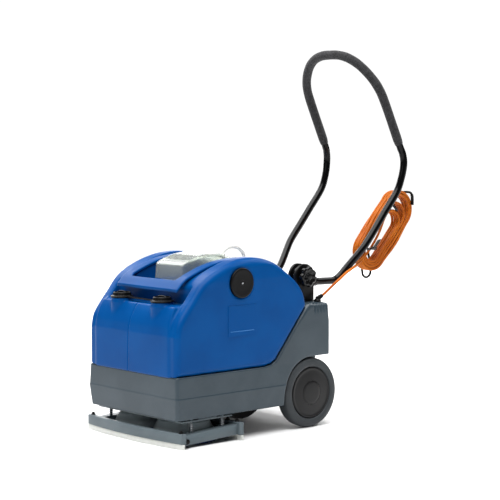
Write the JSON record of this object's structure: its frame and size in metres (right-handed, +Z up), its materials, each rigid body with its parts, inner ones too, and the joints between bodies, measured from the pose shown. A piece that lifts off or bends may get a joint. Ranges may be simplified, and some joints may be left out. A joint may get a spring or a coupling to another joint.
{
  "type": "floor scrubber machine",
  "caption": "Compact walk-behind floor scrubber dryer with disc brushes under a grey chassis, a removable blue tank, squeegees, a folding loop handle and a stored mains cable.",
  "frame": {"origin": "on the floor, under the middle of the machine's length and width, the mains cable left out", "axes": "+Z up; -Y is the squeegee end that leads, +Y the handle end where the operator stands; +X is the side with the dosing dial"},
  "size_m": [0.43, 0.9921, 1.0853],
  "materials": {
    "chassis_grey": "satin, rotationally moulded, fine orange-peel",
    "steel": "zinc-plated, satin",
    "tyre_rubber": "matt moulded rubber",
    "hub_black": "satin moulded nylon",
    "tank_blue": "semi-gloss, rotationally moulded polyethylene",
    "clear_cover": "clear moulded polycarbonate, slightly fogged",
    "clear_hose": "soft translucent vinyl",
    "trim_black": "satin moulded nylon",
    "label_blue": "printed film, blank",
    "deck_grey": "satin moulded",
    "gear_nylon": "natural nylon",
    "bristle_blue": "nylon tufts",
    "blade_rubber": "translucent polyurethane",
    "tube_black": "gloss black powder coat",
    "foam_grip": "closed-cell foam sleeve, fine pores",
    "cable_orange": "satin PVC sheath",
    "plug_black": "moulded rubber plug with plated pins"
  },
  "bodies": {
    "chassis": {"chassis_shell": "chassis_grey", "axle": "steel", "tank_shell": "tank_blue", "cap_strap": "trim_black", "label_plate": "label_blue", "deck_plate": "deck_grey", "gear_case": "trim_black", "brush_motor": "steel", "vacuum_housing": "trim_black", "switch_panel": "trim_black", "hinge_bracket_left": "trim_black", "hinge_bracket_right": "trim_black", "hinge_bolt_left": "steel", "hinge_bolt_right": "steel", "cable_gland": "trim_black"},
    "wheel_left": {"tyre_left": "tyre_rubber", "rim_left": "hub_black", "hubcap_left": "hub_black"},
    "wheel_right": {"tyre_right": "tyre_rubber", "rim_right": "hub_black", "hubcap_right": "hub_black"},
    "handle": {"handle_tube": "tube_black", "foam_grip": "foam_grip", "hinge_eye_left": "trim_black", "hinge_eye_right": "trim_black", "cable_hook_upper": "trim_black", "cable_hook_lower": "trim_black", "cable_lead": "cable_orange", "cable_coil": "cable_orange", "cable_plug": "plug_black"},
    "clamp_left": {"clamp_knob_left": "trim_black"},
    "clamp_right": {"clamp_knob_right": "trim_black"},
    "carry_frame": {"carry_frame": "tank_blue"},
    "cover": {"clear_cover": "clear_cover", "vent_hose": "clear_hose"},
    "cap_left": {"tank_cap_left": "trim_black"},
    "cap_right": {"tank_cap_right": "trim_black"},
    "dosing_dial": {"dosing_knob": "trim_black"},
    "brush_left": {"brush_gear_left": "gear_nylon", "brush_block_left": "trim_black", "brush_bristles_left": "bristle_blue"},
    "brush_right": {"brush_gear_right": "gear_nylon", "brush_block_right": "trim_black", "brush_bristles_right": "bristle_blue"},
    "idler_left": {"idler_gear_left": "gear_nylon"},
    "idler_right": {"idler_gear_right": "gear_nylon"},
    "squeegee": {"squeegee_frame": "deck_grey", "squeegee_carrier_front": "deck_grey", "squeegee_carrier_rear": "deck_grey", "squeegee_blade_front": "blade_rubber", "squeegee_blade_rear": "blade_rubber", "float_spring_front_left": "steel", "float_spring_front_right": "steel", "float_spring_rear_left": "steel", "float_spring_rear_right": "steel"},
    "brush_rocker": {"brush_switch": "trim_black"},
    "suction_rocker": {"suction_switch": "trim_black"}
  },
  "joints": [
    {"name": "left_wheel_spin", "type": "hinge", "parent": "chassis", "child": "wheel_left", "pos_m": [0, 0.0149, 0.1], "axis": [1, 0, 0], "continuous": true},
    {"name": "right_wheel_spin", "type": "hinge", "parent": "chassis", "child": "wheel_right", "pos_m": [0, 0.0149, 0.1], "axis": [1, 0, 0], "continuous": true},
    {"name": "handle_fold", "type": "hinge", "parent": "chassis", "child": "handle", "pos_m": [0, 0.0329, 0.429], "axis": [1, 0, 0], "range_deg": [0, 100]},
    {"name": "clamp_left_turn", "type": "hinge", "parent": "chassis", "child": "clamp_left", "pos_m": [-0.1305, 0.0329, 0.429], "axis": [1, 0, 0], "range_deg": [0, 180]},
    {"name": "clamp_right_turn", "type": "hinge", "parent": "chassis", "child": "clamp_right", "pos_m": [0.1305, 0.0329, 0.429], "axis": [1, 0, 0], "range_deg": [0, 180]},
    {"name": "carry_frame_swing", "type": "hinge", "parent": "chassis", "child": "carry_frame", "pos_m": [0, -0.1471, 0.4835], "axis": [-1, 0, 0], "range_deg": [0, 70]},
    {"name": "cover_lift", "type": "slide", "parent": "chassis", "child": "cover", "axis": [0, 0, 1], "range_m": [0, 0.05]},
    {"name": "cap_left_turn", "type": "hinge", "parent": "chassis", "child": "cap_left", "pos_m": [-0.089, -0.4451, 0.385], "axis": [0, 0, 1], "range_deg": [0, 90]},
    {"name": "cap_right_turn", "type": "hinge", "parent": "chassis", "child": "cap_right", "pos_m": [0.089, -0.4451, 0.385], "axis": [0, 0, 1], "range_deg": [0, 90]},
    {"name": "dosing_turn", "type": "hinge", "parent": "chassis", "child": "dosing_dial", "pos_m": [0.1925, -0.2521, 0.432], "axis": [1, 0, 0], "range_deg": [0, 270]},
    {"name": "brush_left_spin", "type": "hinge", "parent": "chassis", "child": "brush_left", "pos_m": [-0.0865, -0.3691, 0.08], "axis": [0, 0, 1], "continuous": true},
    {"name": "idler_left_spin", "type": "hinge", "parent": "chassis", "child": "idler_left", "pos_m": [-0.02883, -0.3691, 0.08], "axis": [0, 0, 1], "continuous": true},
    {"name": "idler_right_spin", "type": "hinge", "parent": "chassis", "child": "idler_right", "pos_m": [0.02883, -0.3691, 0.08], "axis": [0, 0, 1], "continuous": true},
    {"name": "brush_right_spin", "type": "hinge", "parent": "chassis", "child": "brush_right", "pos_m": [0.0865, -0.3691, 0.08], "axis": [0, 0, 1], "continuous": true},
    {"name": "squeegee_float", "type": "slide", "parent": "chassis", "child": "squeegee", "axis": [0, 0, 1], "range_m": [0, 0.012], "stiffness_N_per_m": 2500, "springref_m": -0.012, "deforming": ["float_spring_front_left", "float_spring_front_right", "float_spring_rear_left", "float_spring_rear_right"]},
    {"name": "brush_switch_rock", "type": "hinge", "parent": "chassis", "child": "brush_rocker", "pos_m": [-0.022, 0.0974, 0.3], "axis": [1, 0, 0], "range_deg": [0, 14]},
    {"name": "suction_switch_rock", "type": "hinge", "parent": "chassis", "child": "suction_rocker", "pos_m": [0.022, 0.0974, 0.3], "axis": [1, 0, 0], "range_deg": [0, 14]}
  ],
  "couplings": [
    {"joint": "idler_left_spin", "follows": "brush_left_spin", "ratio": -1},
    {"joint": "idler_right_spin", "follows": "brush_left_spin", "ratio": 1},
    {"joint": "brush_right_spin", "follows": "brush_left_spin", "ratio": -1}
  ]
}
